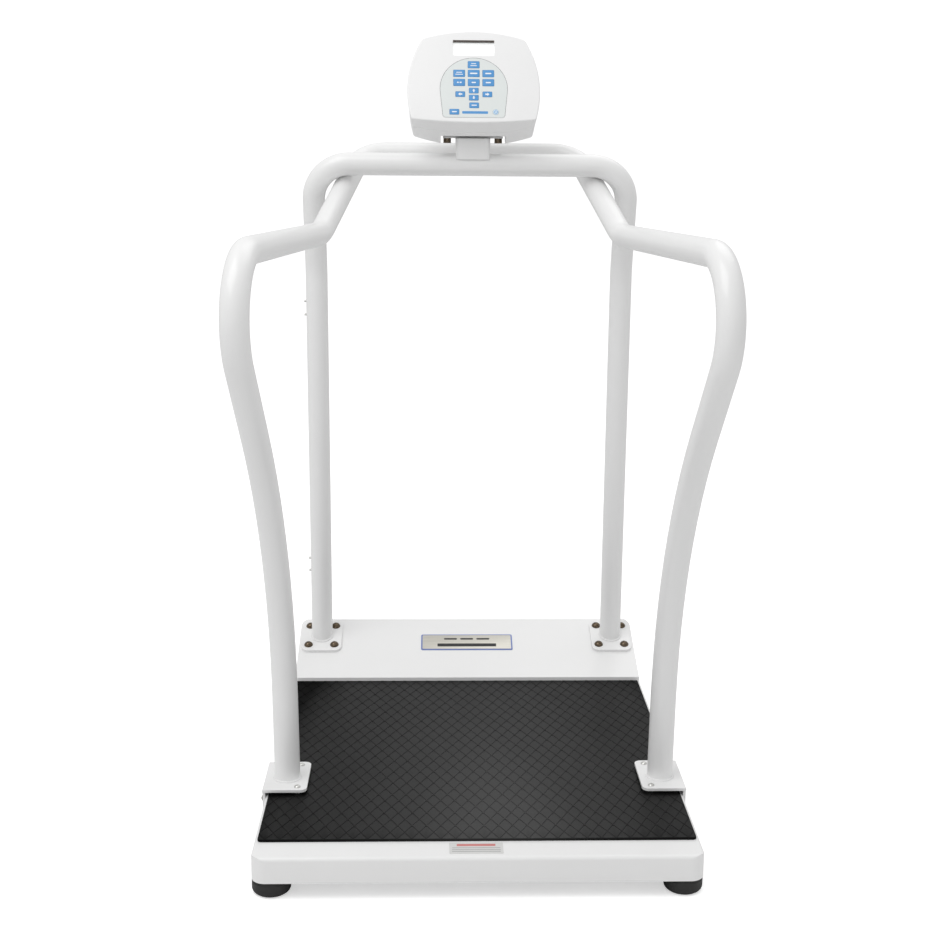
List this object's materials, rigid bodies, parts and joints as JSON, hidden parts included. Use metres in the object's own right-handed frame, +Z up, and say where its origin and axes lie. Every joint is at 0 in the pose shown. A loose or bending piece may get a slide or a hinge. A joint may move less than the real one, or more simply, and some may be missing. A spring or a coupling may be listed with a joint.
{
  "type": "digital platform scale",
  "caption": "Low platform scale with a ribbed tread mat, wrap-around tubular handrails and a tilted display head with a keypad on a rear column.",
  "frame": {"origin": "on the floor, under the middle of the overall box", "axes": "+Z up, +Y from the entry side towards the display, +X to the right of a person who walks on"},
  "size_m": [0.659, 0.8295, 1.1826],
  "materials": {
    "painted_white": "gloss powder coat",
    "frame_grey": "satin",
    "cell_metal": "machined",
    "zinc_steel": "zinc plated",
    "bronze_bolt": "dark oxide",
    "black_rubber": "satin",
    "mat_rubber": "ribbed, semi-gloss",
    "badge_metal": "brushed",
    "label_film": "printed film",
    "head_plastic": "fine texture",
    "overlay_film": "satin",
    "key_blue": "satin",
    "key_power": "satin",
    "lcd_clear": "clear",
    "lcd_green": "matte",
    "board_green": "solder mask",
    "cell_wrap": "wrapped"
  },
  "bodies": {
    "scale": {"deck_pan": "painted_white", "deck_ribs": "frame_grey", "post_supports": "frame_grey", "load_cells": "cell_metal", "load_cell_spacers": "cell_metal", "load_cell_bolts": "zinc_steel", "foot_lock_nuts": "zinc_steel", "tread_mat": "mat_rubber", "rear_housing": "painted_white", "junction_board": "board_green", "badge_plate": "badge_metal", "caution_label": "label_film", "rear_flange_left": "painted_white", "rear_flange_right": "painted_white", "rear_flange_bolts": "bronze_bolt", "front_bracket_left": "painted_white", "front_bracket_right": "painted_white", "bracket_spacers": "zinc_steel", "bracket_screws": "zinc_steel", "bracket_side_bolts": "bronze_bolt", "column_left": "painted_white", "column_right": "painted_white", "column_crossbar": "painted_white", "column_studs": "zinc_steel", "handrail_left": "painted_white", "handrail_right": "painted_white", "handrail_crossbar": "painted_white", "neck_bracket": "painted_white", "head_bolts": "bronze_bolt", "head_front": "head_plastic", "head_rear": "head_plastic", "head_screws": "zinc_steel", "keypad_overlay": "overlay_film", "lcd_window": "lcd_clear", "lcd_panel": "lcd_green", "main_board": "board_green", "battery_cells": "cell_wrap"},
    "foot_fl": {"foot_pad_fl": "black_rubber", "foot_stud_fl": "zinc_steel"},
    "foot_fr": {"foot_pad_fr": "black_rubber", "foot_stud_fr": "zinc_steel"},
    "foot_rl": {"foot_pad_rl": "black_rubber", "foot_stud_rl": "zinc_steel"},
    "foot_rr": {"foot_pad_rr": "black_rubber", "foot_stud_rr": "zinc_steel"},
    "key_top_cap": {"key_top": "key_blue"},
    "key_a1_cap": {"key_a1": "key_blue"},
    "key_a2_cap": {"key_a2": "key_blue"},
    "key_a3_cap": {"key_a3": "key_blue"},
    "key_b1_cap": {"key_b1": "key_blue"},
    "key_b2_cap": {"key_b2": "key_blue"},
    "key_b3_cap": {"key_b3": "key_blue"},
    "key_left_cap": {"key_left": "key_blue"},
    "key_right_cap": {"key_right": "key_blue"},
    "key_up_cap": {"key_up": "key_blue"},
    "key_down_cap": {"key_down": "key_blue"},
    "key_enter_cap": {"key_enter": "key_blue"},
    "key_mode_cap": {"key_mode": "key_blue"},
    "key_power_cap": {"key_power": "key_power"},
    "door": {"battery_door": "head_plastic"}
  },
  "joints": [
    {"name": "foot_fl_turn", "type": "hinge", "parent": "scale", "child": "foot_fl", "pos_m": [-0.284, -0.37821, 0.02], "axis": [0, 0, 1], "continuous": true},
    {"name": "foot_fr_turn", "type": "hinge", "parent": "scale", "child": "foot_fr", "pos_m": [0.284, -0.37821, 0.02], "axis": [0, 0, 1], "continuous": true},
    {"name": "foot_rl_turn", "type": "hinge", "parent": "scale", "child": "foot_rl", "pos_m": [-0.284, 0.37779, 0.02], "axis": [0, 0, 1], "continuous": true},
    {"name": "foot_rr_turn", "type": "hinge", "parent": "scale", "child": "foot_rr", "pos_m": [0.284, 0.37779, 0.02], "axis": [0, 0, 1], "continuous": true},
    {"name": "key_top_press", "type": "slide", "parent": "scale", "child": "key_top_cap", "axis": [0, 0.8988, -0.4384], "range_m": [0, 0.0005], "stiffness_N_per_m": 3000},
    {"name": "key_a1_press", "type": "slide", "parent": "scale", "child": "key_a1_cap", "axis": [0, 0.8988, -0.4384], "range_m": [0, 0.0005], "stiffness_N_per_m": 3000},
    {"name": "key_a2_press", "type": "slide", "parent": "scale", "child": "key_a2_cap", "axis": [0, 0.8988, -0.4384], "range_m": [0, 0.0005], "stiffness_N_per_m": 3000},
    {"name": "key_a3_press", "type": "slide", "parent": "scale", "child": "key_a3_cap", "axis": [0, 0.8988, -0.4384], "range_m": [0, 0.0005], "stiffness_N_per_m": 3000},
    {"name": "key_b1_press", "type": "slide", "parent": "scale", "child": "key_b1_cap", "axis": [0, 0.8988, -0.4384], "range_m": [0, 0.0005], "stiffness_N_per_m": 3000},
    {"name": "key_b2_press", "type": "slide", "parent": "scale", "child": "key_b2_cap", "axis": [0, 0.8988, -0.4384], "range_m": [0, 0.0005], "stiffness_N_per_m": 3000},
    {"name": "key_b3_press", "type": "slide", "parent": "scale", "child": "key_b3_cap", "axis": [0, 0.8988, -0.4384], "range_m": [0, 0.0005], "stiffness_N_per_m": 3000},
    {"name": "key_left_press", "type": "slide", "parent": "scale", "child": "key_left_cap", "axis": [0, 0.8988, -0.4384], "range_m": [0, 0.0005], "stiffness_N_per_m": 3000},
    {"name": "key_right_press", "type": "slide", "parent": "scale", "child": "key_right_cap", "axis": [0, 0.8988, -0.4384], "range_m": [0, 0.0005], "stiffness_N_per_m": 3000},
    {"name": "key_up_press", "type": "slide", "parent": "scale", "child": "key_up_cap", "axis": [0, 0.8988, -0.4384], "range_m": [0, 0.0005], "stiffness_N_per_m": 3000},
    {"name": "key_down_press", "type": "slide", "parent": "scale", "child": "key_down_cap", "axis": [0, 0.8988, -0.4384], "range_m": [0, 0.0005], "stiffness_N_per_m": 3000},
    {"name": "key_enter_press", "type": "slide", "parent": "scale", "child": "key_enter_cap", "axis": [0, 0.8988, -0.4384], "range_m": [0, 0.0005], "stiffness_N_per_m": 3000},
    {"name": "key_mode_press", "type": "slide", "parent": "scale", "child": "key_mode_cap", "axis": [0, 0.8988, -0.4384], "range_m": [0, 0.0005], "stiffness_N_per_m": 3000},
    {"name": "key_power_press", "type": "slide", "parent": "scale", "child": "key_power_cap", "axis": [0, 0.8988, -0.4384], "range_m": [0, 0.0005], "stiffness_N_per_m": 3000},
    {"name": "door_pull", "type": "slide", "parent": "scale", "child": "door", "axis": [0, 0.8988, -0.4384], "range_m": [0, 0.06]}
  ]
}
